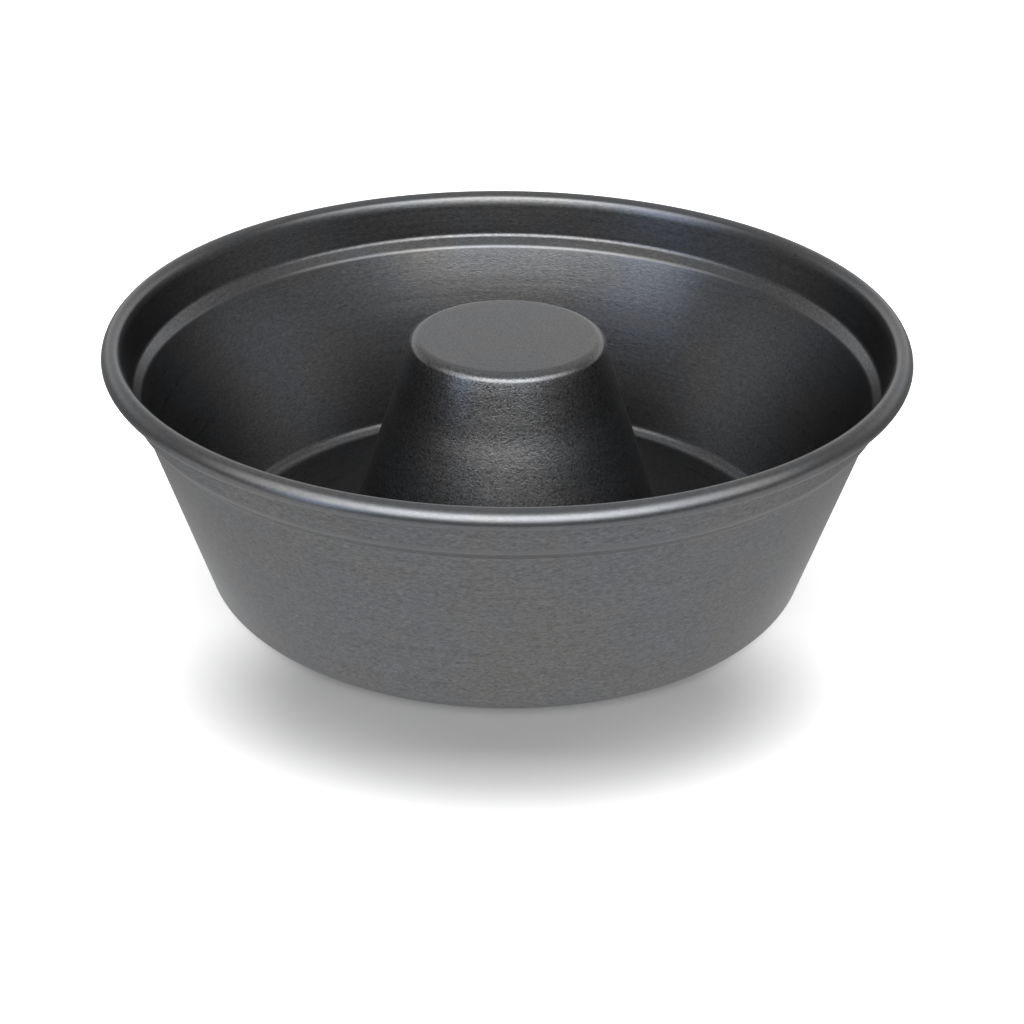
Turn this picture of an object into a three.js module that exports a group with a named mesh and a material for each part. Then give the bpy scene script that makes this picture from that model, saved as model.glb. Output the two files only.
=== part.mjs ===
// Tube pan: a drawn sheet-metal ring mould with a wired rim and a closed, tapered centre tube.
// Millimetres, +Z up. The origin is the centre of the base, on the surface that the pan stands on.

import * as THREE from 'three';

// Driving dimensions of the bowl
const RIM_DIAMETER = 240; // over the outside of the rolled rim
const PAN_HEIGHT = 78; // from the table to the top of the rim
const SHEET = 1; // thickness of the bowl's sheet
const COLLAR_INSET = 6.9; // from the rim's outside in to the foot of the collar
const COLLAR_DEPTH = 15.6; // from the rim's top down to the foot of the collar
const LEDGE_WIDTH = 2.9; // how far the ledge under the collar steps in
const LEDGE_DROP = 3; // how far the ledge falls while it steps in
const LEDGE_BEND = 1.5; // inside radius of the bends above and below the ledge
const BASE_RADIUS = 92.5; // where the line of the wall meets the table
const CORNER_BEND = 3; // inside radius between wall and floor

// Driving dimensions of the rolled rim
const WIRE_DIAMETER = 3.4; // wire inside the roll
const CURL_EDGE_ANGLE = -110; // degrees, where the roll's free edge stops under the rim

// Driving dimensions of the tube
const TUBE_SHEET = 1; // thickness of the tube's sheet
const TUBE_TOP_HEIGHT = 73.4; // from the table to the tube's flat top
const TUBE_TOP_RADIUS = 29.1; // where the line of the cone meets the plane of the top
const TUBE_FOOT_RADIUS = 51.8; // where the line of the cone meets the underside of the foot
const SHOULDER_BEND = 2.5; // inside radius between the top and the cone
const FOOT_BEND = 0.5; // inside radius between the cone and the turned-in foot
const FOOT_WIDTH = 7; // from the cone's line in to the edge of the turned-in foot

// Fits between the pieces
const FIT_GAP = 0.3; // clearance between two pieces that bear on each other
const FOLD_CLEARANCE = 1; // from the edge of the floor's fold to the inside of the tube

// Fineness of the facets
const SEGMENTS = 64; // facets round the pan's axis
const WIRE_SIDES = 8; // facets round the wire
const ARC_STEP = Math.PI / 6; // longest step along a bend

// Finishes
const COAT_COLOUR = 0x66676a;
const COAT_ROUGHNESS = 0.3;
const COAT_METALNESS = 1;
const WIRE_COLOUR = 0x9a9c9e;
const WIRE_ROUGHNESS = 0.35;
const WIRE_METALNESS = 1;

const spot = (radius, height) => new THREE.Vector2(radius, height);

// A bent sheet is a row of stations along its outer face, walked with the sheet on the right hand.
// A station is a point on that face and the unit vector that leads from it through the sheet.

// Stations round an arc of the outer face, from one angle to another.
function arc(centre, radius, from, to) {
  const steps = Math.ceil(Math.abs(to - from) / ARC_STEP);
  const stations = [];
  for (let step = 0; step <= steps; step += 1) {
    const angle = from + ((to - from) * step) / steps;
    const spoke = spot(Math.cos(angle), Math.sin(angle));
    const point = centre.clone().addScaledVector(spoke, radius);
    stations.push({ point, through: spoke.multiplyScalar(Math.sign(to - from)) });
  }
  return stations;
}

// Stations round a bend at a corner of the outer face. The inside radius is on the hollow side of the bend.
function bend(before, corner, after, insideRadius, thickness) {
  const arriving = corner.clone().sub(before).normalize();
  const leaving = after.clone().sub(corner).normalize();
  const turn = Math.atan2(arriving.cross(leaving), arriving.dot(leaving));
  const radius = turn < 0 ? insideRadius + thickness : insideRadius;
  const start = corner.clone().addScaledVector(arriving, -radius * Math.tan(Math.abs(turn) / 2));
  const left = spot(-arriving.y, arriving.x);
  const centre = start.clone().addScaledVector(left, Math.sign(turn) * radius);
  const from = start.clone().sub(centre).angle();
  return arc(centre, radius, from, from + turn);
}

// The solid that a bent sheet makes when it is turned about the pan's axis.
function turnedSheet(stations, thickness) {
  const outerFace = stations.map(({ point }) => point);
  const innerFace = stations.map(({ point, through }) => point.clone().addScaledVector(through, thickness));
  const section = [...innerFace, ...outerFace.reverse()];
  const startsOnAxis = section[0].x === 0;
  if (!startsOnAxis) {
    section.push(section[0].clone());
  }
  return new THREE.LatheGeometry(section, SEGMENTS).rotateX(Math.PI / 2);
}

// The rolled rim: its roll is centred on the wire, and the collar runs into it in a straight line.
const rollRadius = WIRE_DIAMETER / 2 + FIT_GAP;
const rimRadius = rollRadius + SHEET;
const rollCentre = spot(RIM_DIAMETER / 2 - rimRadius, PAN_HEIGHT - rimRadius);

// Corners of the bowl's outer face
const collarFoot = spot(RIM_DIAMETER / 2 - COLLAR_INSET, PAN_HEIGHT - COLLAR_DEPTH);
const wallTop = spot(collarFoot.x - LEDGE_WIDTH, collarFoot.y - LEDGE_DROP);
const wallFoot = spot(BASE_RADIUS, 0);

// The tube's foot lies on the floor, and the floor's edge is folded round it.
const footHeight = SHEET + FIT_GAP;
const foldRadius = SHEET + FIT_GAP + TUBE_SHEET / 2;
const foldCentre = spot(TUBE_FOOT_RADIUS - FOOT_WIDTH, foldRadius);
const foldTop = 2 * foldRadius;

// Corners of the tube's outer face
const tubeTop = spot(0, TUBE_TOP_HEIGHT);
const shoulder = spot(TUBE_TOP_RADIUS, TUBE_TOP_HEIGHT);
const tubeFoot = spot(TUBE_FOOT_RADIUS, footHeight);
const footEdge = spot(foldCentre.x, footHeight);

// Radius of the tube's inside at a height above the table.
function tubeInside(height) {
  const cone = tubeFoot.clone().sub(shoulder);
  const outside = shoulder.x + (cone.x * (height - shoulder.y)) / cone.y;
  return outside - (TUBE_SHEET * cone.length()) / Math.abs(cone.y);
}

function shellGeometry() {
  const toCollar = collarFoot.clone().sub(rollCentre);
  const collarAngle = toCollar.angle() - Math.acos(rollRadius / toCollar.length());
  const roll = arc(rollCentre, rollRadius, THREE.MathUtils.degToRad(CURL_EDGE_ANGLE), collarAngle);
  const collarTop = roll.at(-1).point;
  const floorFold = arc(foldCentre, foldRadius, -Math.PI / 2, (-3 * Math.PI) / 2);
  const floorEdge = floorFold[0].point;
  const foldEdge = spot(tubeInside(foldTop) - FOLD_CLEARANCE, foldTop);
  const stations = [
    ...roll,
    ...bend(collarTop, collarFoot, wallTop, LEDGE_BEND, SHEET),
    ...bend(collarFoot, wallTop, wallFoot, LEDGE_BEND, SHEET),
    ...bend(wallTop, wallFoot, floorEdge, CORNER_BEND, SHEET),
    ...floorFold,
    { point: foldEdge, through: spot(0, -1) },
  ];
  return turnedSheet(stations, SHEET);
}

function tubeGeometry() {
  const stations = [
    { point: tubeTop, through: spot(0, -1) },
    ...bend(tubeTop, shoulder, tubeFoot, SHOULDER_BEND, TUBE_SHEET),
    ...bend(shoulder, tubeFoot, footEdge, FOOT_BEND, TUBE_SHEET),
    { point: footEdge, through: spot(0, 1) },
  ];
  return turnedSheet(stations, TUBE_SHEET);
}

function wireGeometry() {
  return new THREE.TorusGeometry(rollCentre.x, WIRE_DIAMETER / 2, WIRE_SIDES, SEGMENTS);
}

function coat() {
  return new THREE.MeshStandardMaterial({
    color: COAT_COLOUR,
    roughness: COAT_ROUGHNESS,
    metalness: COAT_METALNESS,
  });
}

function steel() {
  return new THREE.MeshStandardMaterial({
    color: WIRE_COLOUR,
    roughness: WIRE_ROUGHNESS,
    metalness: WIRE_METALNESS,
  });
}

function piece(name, geometry, material) {
  const mesh = new THREE.Mesh(geometry, material);
  mesh.name = name;
  return mesh;
}

const shell = piece('pan_shell', shellGeometry(), coat());
const tube = piece('centre_tube', tubeGeometry(), coat());
const wire = piece('rim_wire', wireGeometry(), steel());
wire.position.z = rollCentre.y;

const pan = new THREE.Group();
pan.name = 'tube_pan';
pan.add(shell, tube, wire);

export default pan;
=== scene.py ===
# %% [markdown]
# # A tube pan, dressed round its solids
# A tube pan is a ring mould for cakes and puddings: a drawn bowl of thin sheet with a rolled rim, and a
# closed tube in the middle that brings the heat to the heart of the batter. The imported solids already
# have the right sizes. This script lays finely bent surfaces over them and gives the sheet its dark
# satin finish. Everything is in metres, with the pan's axis on Z and its base on the floor at Z = 0.

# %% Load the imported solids
import math

import bpy
import numpy as np
from mathutils import Matrix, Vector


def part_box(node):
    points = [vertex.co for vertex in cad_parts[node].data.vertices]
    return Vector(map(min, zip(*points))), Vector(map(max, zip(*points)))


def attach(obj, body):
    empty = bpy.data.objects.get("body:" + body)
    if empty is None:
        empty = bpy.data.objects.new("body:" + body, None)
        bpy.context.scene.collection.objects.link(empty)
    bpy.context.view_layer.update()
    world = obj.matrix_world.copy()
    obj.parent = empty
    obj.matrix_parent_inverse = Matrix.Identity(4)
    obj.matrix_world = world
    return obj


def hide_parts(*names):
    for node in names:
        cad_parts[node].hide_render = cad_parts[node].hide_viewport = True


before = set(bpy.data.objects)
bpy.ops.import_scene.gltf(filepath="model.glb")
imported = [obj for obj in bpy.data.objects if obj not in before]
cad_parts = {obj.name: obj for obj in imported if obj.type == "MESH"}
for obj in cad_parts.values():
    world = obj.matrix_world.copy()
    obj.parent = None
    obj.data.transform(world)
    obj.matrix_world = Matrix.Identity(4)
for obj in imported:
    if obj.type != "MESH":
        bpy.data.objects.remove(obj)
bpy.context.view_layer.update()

MM = 0.001

print("solids:", sorted(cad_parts))

# %% [markdown]
# ## A bent sheet as a row of stations
# Every piece of this pan is thin sheet or wire that was bent and turned about one axis. One could draw
# the section by hand, add Solidify for the thickness and Screw for the turning. Here the section is
# worked out instead, because then each bend has its exact radius and the sheet the same thickness all
# along. A station is four numbers: radius and height of a point on the outer face, and the unit vector
# through the sheet to the inner face. The face is walked with the sheet on the right hand.

# %% Bends and corners
def bend(centre, radius, start, end, count):
    """Stations on a bend: centre + radius * (cos a, sin a), with a in even steps from start to end.
    The way through the sheet is that spoke, outwards in a left turn and inwards in a right turn."""
    angle = np.linspace(start, end, count)
    spoke = np.stack([np.cos(angle), np.sin(angle)], axis=1)
    return np.hstack([centre + radius * spoke, spoke * np.sign(end - start)])


def corner(before, at, after, hollow_radius, thickness, count):
    """Stations round the corner of two straight runs. The bend starts radius * tan(turn / 2) before the
    corner. On the hollow side of the sheet it has hollow_radius, on the full side the thickness more."""
    arriving = (at - before) / np.linalg.norm(at - before)
    leaving = (after - at) / np.linalg.norm(after - at)
    turn = math.atan2(arriving[0] * leaving[1] - arriving[1] * leaving[0], arriving @ leaving)
    radius = hollow_radius + (thickness if turn < 0 else 0)
    start = at - arriving * radius * math.tan(abs(turn) / 2)
    centre = start + math.copysign(radius, turn) * np.array([-arriving[1], arriving[0]])
    first = math.atan2(start[1] - centre[1], start[0] - centre[0])
    return bend(centre, radius, first, first + turn, count)


# %% Straight runs
def joined(bends, steps):
    """Bends joined by straight runs: last + t * (next - last), with t = (1 - cos(pi * k / steps)) / 2.
    That puts the stations close together at a run's ends, so that smooth shading stays inside the bends."""
    t = (1 - np.cos(np.pi * np.arange(1, steps) / steps)) / 2
    rows = [bends[0]]
    for last, following in zip(bends, bends[1:]):
        rows += [last[-1] + t[:, None] * (following[0] - last[-1]), following]
    return np.concatenate(rows)


def even_run(first, last, steps):
    """The stations between two others in even steps: first + t * (last - first), without the two."""
    t = np.linspace(0, 1, steps + 1)[1:-1, None]
    return first + t * (last - first)


# %% The outline of a sheet
RUBBED = 4.0 * MM  # an edge that is rounded by this radius or less counts as fully rubbed and gets the full lighter tone, which is partly wear and partly a painted highlight


def outline(path, thickness):
    """The outline of a sheet: its inner face, which is point + thickness * through, then its outer face
    walked back. Beside it the marks of its stations: along is the distance walked along the sheet, cut is 1
    where the sheet ends, and the third is how much a face bulges: RUBBED * turn / step, between 0 and 1.
    The finish makes bulging edges smoother and lighter, partly as wear and partly as a painted highlight."""
    point, through = path[:, :2], path[:, 2:]
    step = np.linalg.norm(np.diff(point, axis=0), axis=1)
    walked = np.append(0, np.cumsum(step))
    cut = np.zeros(len(path))
    cut[[0, -1]] = 1
    turn = through[:-1, 0] * through[1:, 1] - through[:-1, 1] * through[1:, 0]
    bulge = RUBBED * turn / step
    bulge = (np.append(bulge, 0) + np.append(0, bulge)) / 2
    both = np.concatenate([point + thickness * through, point[::-1]])
    marks = {
        "along": np.append(walked, walked[::-1]),
        "cut": np.append(cut, cut[::-1]),
        "wear_and_highlight": np.clip(np.append(bulge, -bulge[::-1]), 0, 1),
    }
    return both, marks


# %% [markdown]
# ## Turning an outline about the axis
# The Screw modifier would turn an outline into a solid too. Whole arrays give the same grid at once,
# and they let each vertex carry what the finish needs to know: how far along the sheet it lies, whether
# it is on a cut edge, and how much it bulges, which the finish shows as rubbing and partly as a painted
# highlight. The faces are wound so that they look out of the sheet, and the volume, which would be
# negative for a mesh turned inside out, confirms it.

# %% The turned mesh
TURNS = 256
SHARP_EDGE = math.radians(40)


def turned(name, section, poles=()):
    """A surface of revolution: the point at angle a is (radius * cos a, radius * sin a, height). The
    outline closes on itself, or else on the axis at the two heights in poles, with a fan of triangles at
    each."""
    rows = len(section)
    angle = 2 * np.pi * np.arange(TURNS) / TURNS
    spin = np.stack([np.cos(angle), np.sin(angle)], axis=1)
    across = section[:, None, :1] * spin
    height = np.broadcast_to(section[:, None, 1:], (rows, TURNS, 1))
    vertices = np.concatenate([across, height], axis=2).reshape(-1, 3)
    here = np.arange(rows * TURNS).reshape(rows, TURNS)
    if not poles:
        here = np.vstack([here, here[:1]])
    beside = np.roll(here, -1, axis=1)
    faces = np.stack([here[:-1], beside[:-1], beside[1:], here[1:]], axis=-1).reshape(-1, 4).tolist()
    if poles:
        first, last = np.full(TURNS, rows * TURNS), np.full(TURNS, rows * TURNS + 1)
        vertices = np.vstack([vertices, [[0, 0, poles[0]], [0, 0, poles[1]]]])
        faces += np.stack([first, beside[0], here[0]], axis=-1).tolist()
        faces += np.stack([here[-1], beside[-1], last], axis=-1).tolist()
    mesh = bpy.data.meshes.new(name)
    mesh.from_pydata(vertices, [], faces)
    mesh.shade_smooth()
    mesh.set_sharp_from_angle(angle=SHARP_EDGE)
    piece = bpy.data.objects.new(name, mesh)
    bpy.context.collection.objects.link(piece)
    return piece


# %% Marks on its vertices, and its measure
def mark(piece, marks):
    """Gives every vertex of a turned piece its station's marks, and a pole those of the nearest station."""
    for name, values in marks.items():
        data = np.repeat(values, TURNS)
        spare = len(piece.data.vertices) - len(data)
        data = np.append(data, [values[0], values[-1]][:spare])
        piece.data.attributes.new(name, "FLOAT", "POINT").data.foreach_set("value", data.astype(np.float32))


def measured(piece):
    """Triangles, and the volume inside: a sixth of the sum of a . (b x c) over all triangles (a, b, c)."""
    mesh = piece.data
    mesh.calc_loop_triangles()
    corners = np.empty(len(mesh.loop_triangles) * 3, dtype=np.int32)
    mesh.loop_triangles.foreach_get("vertices", corners)
    place = np.empty(len(mesh.vertices) * 3, dtype=np.float32)
    mesh.vertices.foreach_get("co", place)
    a, b, c = place.reshape(-1, 3)[corners.reshape(-1, 3)].astype(float).transpose(1, 0, 2)
    volume = np.einsum("ij,ij->", a, np.cross(b, c)) / 6
    return f"{piece.name}: {len(a)} triangles, {volume * 1e6:.1f} cubic centimetres of metal"


# %% [markdown]
# ## The bowl
# The bowl is one drawn sheet. From the top down it has a roll round a wire, a collar that flares gently
# into the roll, a narrow sloping ledge that stiffens the wall, the tapered wall, a small rounding and
# the flat floor. The floor's inner edge is folded back over the foot of the tube. The rim's radius and
# height come from the solid's own box. The other sizes are those of the solid to within about half a
# millimetre, with the soft bends that the real sheet has and a solid of few facets can't show.

# %% The bowl's sizes
SHEET = 1.0 * MM
FIT_GAP = 0.3 * MM                         # between two sheets where one is folded over the other
COLLAR_FOOT = np.array([6.85, 15.1]) * MM  # in from the rim's outside, and down from its top
WALL_TOP = np.array([9.6, 18.35]) * MM     # the same for the lower edge of the ledge
BASE_RADIUS = 92.5 * MM
FOLD_AT = 44.8 * MM                        # radius at which the floor turns back
FOLD_LIP = 48.8 * MM                       # radius of the edge that was turned back

shell_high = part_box("pan_shell")[1]
rim = np.array([shell_high[0], shell_high[2]])
collar_foot = rim - COLLAR_FOOT
wall_top = rim - WALL_TOP
wall_foot = np.array([BASE_RADIUS, 0])
fold_radius = SHEET + FIT_GAP + SHEET / 2
fold_centre = np.array([FOLD_AT, fold_radius])
fold_lip = np.array([[FOLD_LIP, 2 * fold_radius, 0, -1]])
print("rim in mm:", (rim / MM).round(2))
print("the wall leans out by", round(math.degrees(math.atan2(*(wall_top - wall_foot))), 1), "degrees")

# %% [markdown]
# ## The rolled rim
# A rolled rim is never a true circle. The roller pressed this one flatter on its upper outside, which
# makes the broad bright line along the front, and left a tight lip below it. A chain of arcs that touch
# each other follows that: where two arcs meet, both centres lie on the same spoke.

# %% The roll and the flare below it
CURL_EDGE = -100                  # degrees, where the roll's free edge stops under the rim
ROLL_ARCS = ((-70, 6.0), (9, 1.75), (52, 4.85), (130, 2.25))  # degrees at the end, radius in mm
INSIDE_ARC = 3.4                  # radius in mm of the last arc, down the inside
OUTERMOST, TOPMOST = 0, 90        # degrees at which the roll touches the rim's radius and height
FLARE_BEND = 12 * MM
FLARE_REACH = 0.2 * MM
ARC_STEP = 6                      # degrees from station to station
FEWEST_STEPS = 5


def spoke_at(degrees):
    """The unit vector at an angle from the radius, counted upwards."""
    return np.stack([np.cos(np.radians(degrees)), np.sin(np.radians(degrees))], axis=-1)


def rolled_rim(foot):
    """Arcs round the wire, each given by the angle at which it ends and the radius of its outside. The
    next centre is this centre + (this radius - next radius) * spoke. The last arc runs into a gentle flare,
    which touches the straight collar on a line that passes FLARE_REACH outside that arc."""
    ends, radii = np.array(ROLL_ARCS).T
    radii = np.append(radii, INSIDE_ARC) * MM
    hops = (radii[:-1] - radii[1:])[:, None] * spoke_at(ends)
    centres = np.vstack([[0, 0], np.cumsum(hops, axis=0)])
    side, top = np.searchsorted(ends, (OUTERMOST, TOPMOST))
    centres += rim - [centres[side, 0] + radii[side], centres[top, 1] + radii[top]]
    to_foot = foot - centres[-1]
    lean = math.degrees(math.acos((radii[-1] - SHEET + FLARE_REACH) / np.linalg.norm(to_foot)))
    flare_end = math.degrees(math.atan2(to_foot[1], to_foot[0])) + 360 - lean
    flare_start = flare_end - math.degrees(math.acos(1 - FLARE_REACH / (FLARE_BEND - radii[-1])))
    flare_centre = centres[-1] - (FLARE_BEND - radii[-1]) * spoke_at(flare_start)
    centres, radii = [*centres, flare_centre], [*radii, FLARE_BEND]
    angles = np.concatenate([[CURL_EDGE], ends, [flare_start, flare_end]])
    rows = []
    for centre, radius, start, end in zip(centres, radii, angles, angles[1:]):
        steps = max(FEWEST_STEPS, round((end - start) / ARC_STEP))
        rows.append(bend(centre, radius - SHEET, math.radians(start), math.radians(end), steps + 1))
    return np.vstack([row[:-1] for row in rows] + [rows[-1][-1:]])


roll = rolled_rim(collar_foot)
print("stations on the roll:", len(roll))

# %% The bowl's sheet
COLLAR_BEND = 3.0 * MM
WALL_BEND = 2.6 * MM
CORNER_BEND = 4.2 * MM
LEDGE_STATIONS = 13
CORNER_STATIONS = 17
FOLD_STATIONS = 13
RUN_STEPS = 10

fold = bend(fold_centre, fold_radius, -math.pi / 2, -1.5 * math.pi, FOLD_STATIONS)
bowl_path = joined([
    roll,
    corner(roll[-1, :2], collar_foot, wall_top, COLLAR_BEND, SHEET, LEDGE_STATIONS),
    corner(collar_foot, wall_top, wall_foot, WALL_BEND, SHEET, LEDGE_STATIONS),
    corner(wall_top, wall_foot, fold[0, :2], CORNER_BEND, SHEET, CORNER_STATIONS),
    fold,
    fold_lip,
], RUN_STEPS)
bowl_outline, bowl_marks = outline(bowl_path, SHEET)
bowl = turned("bowl", bowl_outline)
mark(bowl, bowl_marks)
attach(bowl, "root")
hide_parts("pan_shell")
print(measured(bowl))

# %% [markdown]
# ## The tube
# The tube is a second drawing: a closed cone with a flat top and a foot that is turned in under it. It
# is too deep to be drawn at one stroke, and where each stroke ended a soft ring stays in its side, with
# a slight waist above it. A bump map could fake those rings, but they show in the tube's outline and
# bend what the metal mirrors, so the cone itself is moved in there by parts of a millimetre.

# %% The tube's sizes and bends
TUBE_HEIGHT = 73.4 * MM
TOP_RADIUS = 29.1 * MM
FOOT_RADIUS = 51.8 * MM
FOOT_GAP = 0.05 * MM  # between the floor and the foot that is pressed on it
SHOULDER_BEND = 2.5 * MM
FOOT_BEND = 0.5 * MM
SHOULDER_STATIONS = 21
FOOT_STATIONS = 11

tube_top = np.array([0, TUBE_HEIGHT])
shoulder = np.array([TOP_RADIUS, TUBE_HEIGHT])
tube_foot = np.array([FOOT_RADIUS, SHEET + FOOT_GAP])
foot_edge = np.array([FOLD_AT, tube_foot[1]])
shoulder_bend = corner(tube_top, shoulder, tube_foot, SHOULDER_BEND, SHEET, SHOULDER_STATIONS)
foot_bend = corner(shoulder, tube_foot, foot_edge, FOOT_BEND, SHEET, FOOT_STATIONS)
print("stations on the shoulder:", len(shoulder_bend), "and on the foot:", len(foot_bend))

# %% The waist in its side
WAIST = np.array([[2.5, 0.0], [25.0, -0.04], [31.0, 0.10], [48.0, -0.24], [54.5, -0.43], [69.0, 0.0]]) * MM
WAIST_ROUNDING = 2.0 * MM
WAIST_SAMPLES = 17
SIDE_STEPS = 64


def waisted(path):
    """Moves a path in or out by the waist at its height: the straight lines through the waist's points, as
    the mean over a window of heights, which rounds their corners."""
    window = np.linspace(-WAIST_ROUNDING, WAIST_ROUNDING, WAIST_SAMPLES)
    moved = path.copy()
    moved[:, 0] += np.interp(path[:, 1:2] + window, *WAIST.T).mean(axis=1)
    return moved


side_run = waisted(even_run(shoulder_bend[-1], foot_bend[0], SIDE_STEPS))
print("deepest waist in mm:", (WAIST[:, 1].min() / MM).round(2))

# %% The tube's sheet
TOP_STEPS = 12
FOOT_STEPS = 8

top_run = even_run(np.append(tube_top, [0, -1]), shoulder_bend[0], TOP_STEPS)
foot_run = joined([foot_bend, np.append(foot_edge, [0, 1])[None]], FOOT_STEPS)
tube_path = np.concatenate([top_run, shoulder_bend, side_run, foot_run])
tube_outline, tube_marks = outline(tube_path, SHEET)
tube_marks["cut"][[0, -1]] = 0  # the path starts in the middle of the top, where the sheet goes on
tube = turned("tube", tube_outline, poles=(TUBE_HEIGHT - SHEET, TUBE_HEIGHT))
mark(tube, tube_marks)
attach(tube, "root")
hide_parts("centre_tube")
print(measured(tube))

# %% [markdown]
# ## The wire in the rim
# A thin sheet would bend at its edge, so the rim is rolled round a steel wire. It shows only from
# below, through the slit between the roll's edge and the collar. A torus from the Add menu would do,
# but the same turning function makes it from a circle, with the marks that its finish reads. It is a
# trace thinner than the solid's wire, because the flattened roll leaves it less room.

# %% The wire
WIRE_RADIUS = 1.6 * MM
WIRE_INSET = 3.05 * MM  # from the rim's outside and top to the wire's middle
WIRE_SIDES = 24

round_wire = bend(rim - WIRE_INSET, WIRE_RADIUS, 0, 2 * math.pi, WIRE_SIDES + 1)[:-1, :2]
wire = turned("wire", round_wire)
mark(wire, {"along": WIRE_RADIUS * 2 * np.pi * np.arange(WIRE_SIDES) / WIRE_SIDES})
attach(wire, "root")
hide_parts("rim_wire")
print(measured(wire))

# %% [markdown]
# ## Shader maths as Python
# A finish is easier to read as a formula than as a picture of nodes. This class holds one socket of a
# node tree. Its operators add Math nodes, and its node method adds any other node: the settings are set
# first, because some of them decide which sockets a node has, and then its sockets get values or links.

# %% A socket that can be calculated with
class Flow:
    """One output socket of a shader tree."""

    def __init__(self, tree, socket=None):
        self.tree = tree
        self.socket = socket

    def node(self, kind, settings=None, sockets=None, out=0):
        """Adds a node, sets its settings, fills its sockets with values or links, and gives an output."""
        made = self.tree.nodes.new(kind)
        for name, value in (settings or {}).items():
            setattr(made, name, value)
        for key, value in (sockets or {}).items():
            if isinstance(value, Flow):
                self.tree.links.new(value.socket, made.inputs[key])
            else:
                made.inputs[key].default_value = value
        return Flow(self.tree, made.outputs[out] if made.outputs else None)

    def out(self, name):
        """Another output of the node that this socket belongs to."""
        return Flow(self.tree, self.socket.node.outputs[name])

    def math(self, operation, *values):
        """A Math node on some values."""
        return self.node("ShaderNodeMath", {"operation": operation}, dict(enumerate(values)))

    def mix(self, low, high):
        """A colour between two, with this value as the factor."""
        return self.node("ShaderNodeMix", {"data_type": "RGBA"}, {0: self, 6: low, 7: high}, out=2)

    def step(self, low, high):
        """0 below low, 1 above high, and a smooth rise between."""
        return self.node("ShaderNodeMapRange", {"interpolation_type": "SMOOTHSTEP"},
                         {"Value": self, "From Min": low, "From Max": high})

    def __abs__(self):
        return self.math("ABSOLUTE", self)

    def __add__(self, other):
        return self.math("ADD", self, other)

    def __sub__(self, other):
        return self.math("SUBTRACT", self, other)

    def __rsub__(self, other):
        return self.math("SUBTRACT", other, self)

    def __mul__(self, other):
        return self.math("MULTIPLY", self, other)

    def __truediv__(self, other):
        return self.math("DIVIDE", self, other)

    def __rtruediv__(self, other):
        return self.math("DIVIDE", other, self)

    def __pow__(self, other):
        return self.math("POWER", self, other)

    def __rpow__(self, other):
        return self.math("POWER", other, self)

    __radd__ = __add__
    __rmul__ = __mul__


def new_material(name):
    """An empty node material, with a Flow to add nodes by."""
    material = bpy.data.materials.new(name)
    material.use_nodes = True
    material.node_tree.nodes.clear()
    return material, Flow(material.node_tree)


# %% [markdown]
# ## The dark satin coat
# The sheet has a thin graphite-grey finish. Drawing and spinning have pulled its surface into fine
# short wrinkles that run round the pan, with faint turning rings between them, and the tone shifts a
# little between cool and warm. Edges that stand out are rubbed a little smoother, and they are a little
# lighter, which is partly wear and partly a painted highlight along the bends. Where the sheet was cut
# it is bare. An image texture would show its pixels and its seam. Noise stretched round the axis has
# neither: its coordinates are the direction from the axis and the distance along the sheet. The flat top
# of the tube was hardly drawn, so there the grain is even in all directions.

# %% What the coat is like all over the pan
COOL_GREY = (0.131, 0.135, 0.142, 1)
WARM_GREY = (0.138, 0.136, 0.135, 1)
BARE_METAL = (0.72, 0.73, 0.74, 1)
GRAZING = (0.85, 0.85, 0.85, 1)  # share of the light that is mirrored at a flat angle
PLAIN_SHADE = 0.9               # share of the greys above, before grain and rings are added
TONE_SCALE = 34                 # patches of cool and warm in a metre
TONE_EDGE = (0.38, 0.62)
WRINKLE_ROWS = 1700             # wrinkles in a metre along the sheet
EVEN_SCALE = 1800               # grains in a metre where the sheet was hardly drawn
EVEN_HEIGHT = 0.5               # their height and tone, as a share of those of the wrinkles
EVEN_TONE = 0.6
EVEN_FADE = 1.15                # how much wider the even area is where the wrinkles are full
EVEN_EDGE = 0.1 * MM
RING_ROWS = 700                 # turning rings in a metre along the sheet
RING_CHANGE = 1.3               # how often a ring changes within one radian
RING_HEIGHT = 4e-6
RING_SHADE = 0.2
RING_DULLNESS = 0.06
RUB_LEAST = 0.5                 # how rubbed an edge is in its cool patches, and 1 more in the warm ones
# how much lighter rubbed edges are: partly wear, partly a painted highlight along the bends
RUB_AND_HIGHLIGHT_SHADE = 0.03
STRAIN_RUN = (30 * MM, 75 * MM)  # way along the sheet over which the strain roughens it
NOISE_MEAN = 0.5
NEAR_AXIS = 0.01 * MM
print("coat between", COOL_GREY[:3], "and", WARM_GREY[:3])


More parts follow.
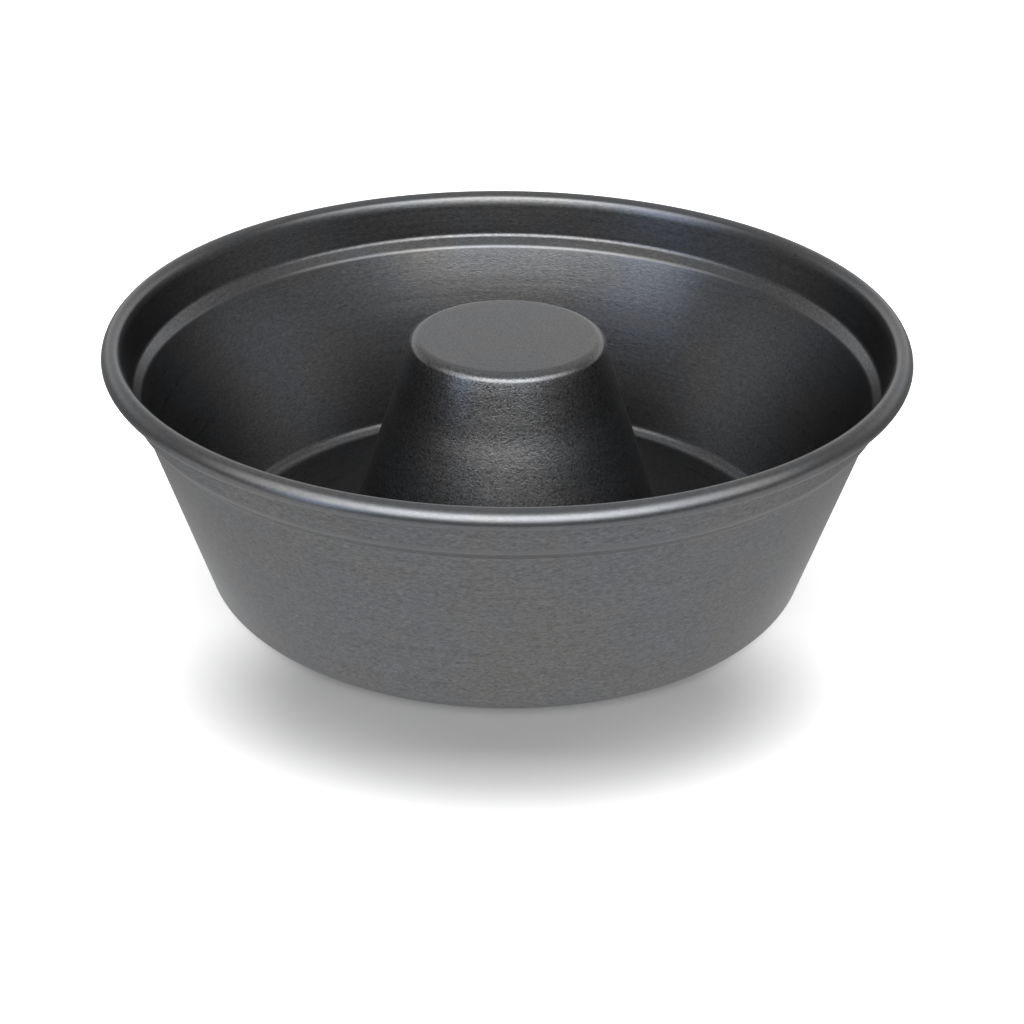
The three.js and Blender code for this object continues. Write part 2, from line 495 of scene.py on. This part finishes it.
# %% The coat's nodes
def satin_coat(name, grain_round, grain_height, grain_tone, roughness, strain, burnish, smoothed,
               even_within):
    """Dark satin coat. grain_round is how many grains fit one radian, grain_height how high they are in
    metres, and grain_tone how much lighter their tops are. strain is how much rougher the deep-drawn end of
    the sheet is, burnish how much shinier rubbed edges are, and smoothed the share of the grain that they
    lose. even_within is the radius in metres inside which the grain has no direction."""
    material, add = new_material(name)
    place = add.node("ShaderNodeTexCoord", out="Object")
    split = add.node("ShaderNodeSeparateXYZ", sockets={0: place})
    x, y = split.out("X"), split.out("Y")
    radius = (x * x + y * y) ** 0.5 + NEAR_AXIS
    along, cut, wear_and_highlight = (add.node("ShaderNodeAttribute", {"attribute_name": mark_name}, out="Fac")
                        for mark_name in ("along", "cut", "wear_and_highlight"))

    def stretched(grains, rows, **values):
        """Noise at (grains * x / radius, grains * y / radius, rows * along)."""
        vector = add.node("ShaderNodeCombineXYZ", sockets={
            0: x / radius * grains, 1: y / radius * grains, 2: along * rows})
        return add.node("ShaderNodeTexNoise", sockets={"Vector": vector, "Scale": 1.0, **values})

    def even(scale, **values):
        """Noise that is the same in all directions."""
        return add.node("ShaderNodeTexNoise", sockets={"Vector": place, "Scale": scale, **values})

    pulled = radius.step(even_within, even_within * EVEN_FADE + EVEN_EDGE)
    wrinkle = stretched(grain_round, WRINKLE_ROWS, Detail=1.5, Roughness=0.5, Distortion=0.9)
    speckle = even(EVEN_SCALE, Detail=1.5, Roughness=0.5, Distortion=0.4)
    mixed = pulled * wrinkle + (1 - pulled) * speckle
    grain = NOISE_MEAN + (mixed - NOISE_MEAN) * (1 - smoothed * wear_and_highlight)
    rings = stretched(RING_CHANGE, RING_ROWS, Detail=2.0, Roughness=0.5)
    tone = even(TONE_SCALE, Detail=2.0, Roughness=0.5).step(*TONE_EDGE)
    # the rubbed mask lightens bulging edges, partly as wear and partly as a painted highlight, and makes
    # them shinier
    rubbed = wear_and_highlight * (RUB_LEAST + tone)

    height = grain * grain_height * (EVEN_HEIGHT + (1 - EVEN_HEIGHT) * pulled) + rings * RING_HEIGHT
    normal = add.node("ShaderNodeBump", sockets={"Strength": 1.0, "Distance": 1.0, "Height": height},
                      out="Normal")
    lift = (grain - NOISE_MEAN) * grain_tone * (EVEN_TONE + (1 - EVEN_TONE) * pulled)
    # the rubbed term in the shade is partly wear and partly a painted highlight on the bends
    shade = PLAIN_SHADE + lift + RING_SHADE * rings + RUB_AND_HIGHLIGHT_SHADE * rubbed
    coat = add.node("ShaderNodeVectorMath", {"operation": "SCALE"},
                    {0: tone.mix(COOL_GREY, WARM_GREY), "Scale": shade})
    dullness = roughness + RING_DULLNESS * rings + strain * along.step(*STRAIN_RUN) - burnish * rubbed
    shader = add.node("ShaderNodeBsdfPrincipled", sockets={
        "Base Color": cut.mix(coat, BARE_METAL),
        "Metallic": 1.0,
        "Roughness": dullness,
        "Specular Tint": GRAZING,
        "Normal": normal,
    })
    add.node("ShaderNodeOutputMaterial", sockets={"Surface": shader})
    return material


# %% One coat for the bowl and one for the tube
bowl.data.materials.append(satin_coat(
    "bowl_satin", grain_round=76, grain_height=25e-6, grain_tone=1.1, roughness=0.255,
    strain=0.0, burnish=0.0, smoothed=0.6, even_within=0.0))
tube.data.materials.append(satin_coat(
    "tube_satin", grain_round=46, grain_height=55e-6, grain_tone=2.2, roughness=0.255,
    strain=0.13, burnish=0.03, smoothed=0.3, even_within=25 * MM))
print("coats:", [material.name for piece in (bowl, tube) for material in piece.data.materials])

# %% [markdown]
# ## The wire's steel
# Drawn wire is pulled through a die, which leaves fine lines along it. They could be cut into the mesh,
# but they are finer than any facet. Noise that is stretched along the wire and tight round it gives
# those lines as changes of roughness and tone.

# %% The steel's nodes
DARK_STEEL = (0.38, 0.385, 0.39, 1)
LIGHT_STEEL = (0.52, 0.525, 0.53, 1)
STEEL_ROUGHNESS = 0.25
LINE_ROUGHNESS = 0.2
LINE_ROWS = 6000    # lines in a metre round the wire
LINE_CHANGE = 12.0  # how often a line changes in a metre of wire


def drawn_steel(name):
    """Plain drawn wire: noise at LINE_CHANGE * place and LINE_ROWS * along, which is long lines along the
    wire, mixes two tones of steel and makes the lighter lines rougher."""
    material, add = new_material(name)
    place = add.node("ShaderNodeTexCoord", out="Object")
    along = add.node("ShaderNodeAttribute", {"attribute_name": "along"}, out="Fac")
    drawn_out = add.node("ShaderNodeVectorMath", {"operation": "SCALE"}, {0: place, "Scale": LINE_CHANGE})
    lines = add.node("ShaderNodeTexNoise", {"noise_dimensions": "4D"},
                     {"Vector": drawn_out, "W": along * LINE_ROWS, "Scale": 1.0, "Detail": 2.0})
    shader = add.node("ShaderNodeBsdfPrincipled", sockets={
        "Base Color": lines.mix(DARK_STEEL, LIGHT_STEEL),
        "Metallic": 1.0,
        "Roughness": STEEL_ROUGHNESS + LINE_ROUGHNESS * lines,
    })
    add.node("ShaderNodeOutputMaterial", sockets={"Surface": shader})
    return material


wire.data.materials.append(drawn_steel("drawn_wire"))
print("wire finish:", wire.data.materials[0].name)

# %% [markdown]
# ## The floor
# The pan stands on a plain white floor that shows nothing but the pan's soft shadow. White paint alone
# would turn grey away from the lamp, so the floor also glows for the camera: a little in an oval in front
# of the pan, and up to full white round it. That oval is a painted shadow, laid over the shadow that the
# lamp casts. The floor lies a hair below the pan's base, so that the two don't fight for the same place.

# %% The floor's mesh
FLOOR_HALF = 3.0
FLOOR_DROP = 0.02 * MM

floor_mesh = bpy.data.meshes.new("floor")
floor_corners = np.array([[-1, -1, 0], [1, -1, 0], [1, 1, 0], [-1, 1, 0]]) * FLOOR_HALF
floor_mesh.from_pydata(floor_corners - [0, 0, FLOOR_DROP], [], [[0, 1, 2, 3]])
floor = bpy.data.objects.new("floor", floor_mesh)
bpy.context.collection.objects.link(floor)
print("floor:", 2 * FLOOR_HALF, "metres wide")

# %% The floor as the camera sees it
FLOOR_PAINT = (0.8, 0.8, 0.8, 1)
PAINTED_SHADOW_AT = (0.0, -0.09, 0.0)
PAINTED_SHADOW_SHAPE = (9.4, 16.0, 0.0)  # stretches the painted shadow's oval to a circle of radius 1
GLOW = 0.15
GLOW_ROUND = 0.54                # added round the painted shadow
GLOW_FAR = 0.3                   # added where the lamp's light has faded
ROUND_PAINTED_SHADOW = (0.5, 1.1)
FAR_AWAY = (3, 15)

white_floor, add = new_material("white_floor")
path_kind = add.node("ShaderNodeLightPath")
seen = path_kind.out("Is Camera Ray") + path_kind.out("Is Transmission Ray")
place = add.node("ShaderNodeTexCoord", out="Object")
from_painted_shadow = add.node("ShaderNodeVectorMath", {"operation": "SUBTRACT"}, {0: place, 1: PAINTED_SHADOW_AT})
in_oval = add.node("ShaderNodeVectorMath", {"operation": "MULTIPLY"}, {0: from_painted_shadow, 1: PAINTED_SHADOW_SHAPE})
apart = add.node("ShaderNodeVectorMath", {"operation": "LENGTH"}, {0: in_oval}, out="Value")
# the glow drops in an oval in front of the pan: a painted shadow, laid over the one the top lamp casts
shine = GLOW + GLOW_ROUND * apart.step(*ROUND_PAINTED_SHADOW) + GLOW_FAR * apart.step(*FAR_AWAY)
matt = add.node("ShaderNodeBsdfDiffuse", sockets={"Color": FLOOR_PAINT})
glow = add.node("ShaderNodeEmission", sockets={"Color": seen * shine})
lit = add.node("ShaderNodeAddShader", sockets={0: matt, 1: glow})
print("the shadow lies round", PAINTED_SHADOW_AT)

# %% [markdown]
# ## The floor in the metal
# Dark metal takes its tone from what it mirrors, and the front wall of this pan mirrors little but
# floor. So the metal sees the floor as a plain table of light: white in front and dimmer far away. Behind
# the pan it is dimmer and under the base dim, both a painted shadow of the pan, which gives the pan a dark
# edge to stand on. From below the floor is clear, so that the underside can be looked at too.

# %% The floor as the metal mirrors it
FLOOR_FRONT = 1.03
FLOOR_BACK_IN_SHADOW = 0.36
FLOOR_FAR = 0.2
PAINTED_SHADOW_UNDER_BASE = 0.35
TO_BACK = (-0.12, 0.08)       # from the pan's front towards its back
TO_FRONT = (0.3, 0.8)         # from the axis towards the camera
PAN_EDGE = (0.0895, 0.0955)   # from the axis outwards

depth = add.node("ShaderNodeSeparateXYZ", sockets={0: place}, out="Y")
from_axis = add.node("ShaderNodeVectorMath", {"operation": "LENGTH"}, {0: place}, out="Value")
# dimmer behind the pan: a painted shadow of the pan in the mirrored floor
table = FLOOR_FRONT + (FLOOR_BACK_IN_SHADOW - FLOOR_FRONT) * depth.step(*TO_BACK)
table = table + (FLOOR_FAR - FLOOR_FRONT) * (0 - depth).step(*TO_FRONT)
# dim under the base: a painted contact shadow of the pan in the mirrored floor
table = PAINTED_SHADOW_UNDER_BASE + (table - PAINTED_SHADOW_UNDER_BASE) * from_axis.step(*PAN_EDGE)
mirrored = add.node("ShaderNodeEmission", sockets={"Color": table})
in_mirror = path_kind.out("Is Glossy Ray")
from_above = add.node("ShaderNodeMixShader", sockets={0: in_mirror, 1: lit, 2: mirrored})
from_below = add.node("ShaderNodeNewGeometry", out="Backfacing")
clear = add.node("ShaderNodeBsdfTransparent")
either_side = add.node("ShaderNodeMixShader", sockets={0: from_below, 1: from_above, 2: clear})
add.node("ShaderNodeOutputMaterial", sockets={"Surface": either_side})
floor_mesh.materials.append(white_floor)
print("floor finish:", floor_mesh.materials[0].name)

# %% [markdown]
# ## The room
# The room is pure white for the camera. What the metal mirrors of it is painted by formulas, because a
# smooth fall of light is simple there and a picture of a real room would bring its furniture along: a
# soft grey that is lighter behind the pan and darker at the sides, a pale band low at the back, a glow
# overhead, and a cool window low on the left in front, which leaves a bluish patch on the far wall of
# the bowl.

# %% The room
ROOM_DIFFUSE = 0.25              # what lights the floor
ROOM_IN_METAL = 0.46
ROOM_SLOPE = 0.28                # added at the back and taken off in front
ROOM_SIDES = 0.15                # taken off at the sides
OVERHEAD = 0.2
OVERHEAD_FROM = (0.6, 0.95)      # height of a direction on the unit sphere
BACK_GLOW = 0.5
BACK_WIDTH = (0.1, 0.7)          # how far to the back a direction points
BACK_RISE = (-0.05, 0.25)        # heights between which the band comes up
BACK_FALL = (0.25, 0.5)          # heights between which it goes down again
WINDOW_LIGHT = 1.4
WINDOW_AT = (-0.74, -0.64, 0.21)
WINDOW_EDGE = (0.955, 0.995)     # cosine of the angle from the window's middle
WINDOW_BLUE = (0.78, 0.93, 1.25, 1)
WHITE = (1, 1, 1, 1)

world = bpy.data.worlds.new("pale_room")
bpy.context.scene.world = world
world.use_nodes = True
world.node_tree.nodes.clear()
add = Flow(world.node_tree)
path_kind = add.node("ShaderNodeLightPath")
seen = path_kind.out("Is Camera Ray") + path_kind.out("Is Transmission Ray")
mirrored = path_kind.out("Is Glossy Ray")
direction = add.node("ShaderNodeTexCoord", out="Generated")
split = add.node("ShaderNodeSeparateXYZ", sockets={0: direction})
x, y, z = split.out("X"), split.out("Y"), split.out("Z")
back = y.step(*BACK_WIDTH) * z.step(*BACK_RISE) * (1 - z.step(*BACK_FALL))
near_window = add.node("ShaderNodeVectorMath", {"operation": "DOT_PRODUCT"},
                       {0: direction, 1: WINDOW_AT}, out="Value")
window = near_window.step(*WINDOW_EDGE)
in_metal = ROOM_IN_METAL + ROOM_SLOPE * y - ROOM_SIDES * x * x + OVERHEAD * z.step(*OVERHEAD_FROM)
in_metal = in_metal + BACK_GLOW * back + WINDOW_LIGHT * window
level = (1 - mirrored) * (ROOM_DIFFUSE + (1 - ROOM_DIFFUSE) * seen) + mirrored * in_metal
room = add.node("ShaderNodeBackground", sockets={
    "Color": (window * mirrored).mix(WHITE, WINDOW_BLUE), "Strength": level})
add.node("ShaderNodeOutputWorld", sockets={"Surface": room})
print("room:", world.name, "with", len(world.node_tree.nodes), "nodes")

# %% [markdown]
# ## The lamps
# Three near soft boxes, in front and to both sides, draw the bright line along every bend. Only the
# metal sees them, and they fade towards their edges as cloth with one bulb behind it does, so the lines
# end softly. A fourth box hangs almost overhead, a little behind the pan. It lights only the floor, and
# lays the pan's soft shadow in front of it.

# %% Soft boxes
LAMPS_AIM = (0, 0, 40 * MM)


def soft_box(name, azimuth, elevation, distance, width, height, brightness):
    """A soft box that faces the pan's middle. Azimuth 0 is the front (-Y), and 90 the right (+X).
    Its power is brightness * pi * width * height, so that brightness 1 mirrors as white."""
    lamp = bpy.data.lights.new(name, "AREA")
    lamp.shape = "RECTANGLE"
    lamp.size = width
    lamp.size_y = height
    lamp.energy = brightness * math.pi * width * height
    light = bpy.data.objects.new(name, lamp)
    raised = Matrix.Rotation(math.radians(90 - elevation), 4, "X") @ Matrix.Translation((0, 0, distance))
    turned_round = Matrix.Rotation(math.radians(azimuth), 4, "Z")
    light.matrix_world = Matrix.Translation(LAMPS_AIM) @ turned_round @ raised
    light.visible_camera = False
    bpy.context.collection.objects.link(light)
    return light


def fade_out(light, flat_across, flat_up):
    """Lets a soft box fade from its middle to its edges. With across and up counted from 0 in the middle to
    1 at the edge, its light is the product of 1 - step(flat, 1) in both directions."""
    lamp = light.data
    lamp.use_nodes = True
    lamp.node_tree.nodes.clear()
    add = Flow(lamp.node_tree)
    spot = add.node("ShaderNodeNewGeometry", out="Parametric")
    split = add.node("ShaderNodeSeparateXYZ", sockets={0: spot})
    across, up = abs(split.out("X") * 2 - 1), abs(split.out("Y") * 2 - 1)
    fade = (1 - across.step(flat_across, 1)) * (1 - up.step(flat_up, 1))
    cloth = add.node("ShaderNodeEmission", sockets={"Color": fade})
    add.node("ShaderNodeOutputLight", sockets={"Surface": cloth})


# %% Three boxes for the metal and one for the floor
BOX_ELEVATION = 35
BOX_DISTANCE = 0.9
BOX_HEIGHT = 0.76
FLAT_UP = 0.25
# name, azimuth, width and brightness
BOXES = (("left_box", -45, 1.6, 2.45), ("front_box", 0, 1.8, 5.2), ("right_box", 45, 1.6, 2.6))

for name, azimuth, width, brightness in BOXES:
    box = soft_box(name, azimuth, BOX_ELEVATION, BOX_DISTANCE, width, BOX_HEIGHT, brightness)
    box.visible_diffuse = False
    fade_out(box, 0.0, FLAT_UP)
top_box = soft_box("top_box", azimuth=180, elevation=84, distance=1.6, width=2.1, height=1.0,
                   brightness=5.6)
top_box.visible_glossy = False

# %% [markdown]
# ## The camera
# The picture was taken from the front and from above, close enough for the far rim to look clearly
# narrower than the near one. The values come from fitting a perspective camera to the rim, the ledge,
# the base and the tube. The camera stands on a line through the aim, and is turned by a trace about its
# own axis.

# %% The camera
SENSOR = 36
LENS = 65.13
DISTANCE = 0.5867
ELEVATION = math.radians(28.91)
ROLL = math.radians(0.64)
AIM = (1.89 * MM, 0, 12.45 * MM)

camera = bpy.data.objects.new("camera", bpy.data.cameras.new("camera"))
camera.data.sensor_width = SENSOR
camera.data.lens = LENS
tilt = Matrix.Rotation(math.pi / 2 - ELEVATION, 4, "X") @ Matrix.Rotation(ROLL, 4, "Z")
camera.matrix_world = Matrix.Translation(AIM) @ tilt @ Matrix.Translation((0, 0, DISTANCE))
bpy.context.collection.objects.link(camera)
bpy.context.scene.camera = camera
bpy.context.scene.view_settings.view_transform = "Standard"
print("camera stands at", [round(v, 4) for v in camera.matrix_world.translation])
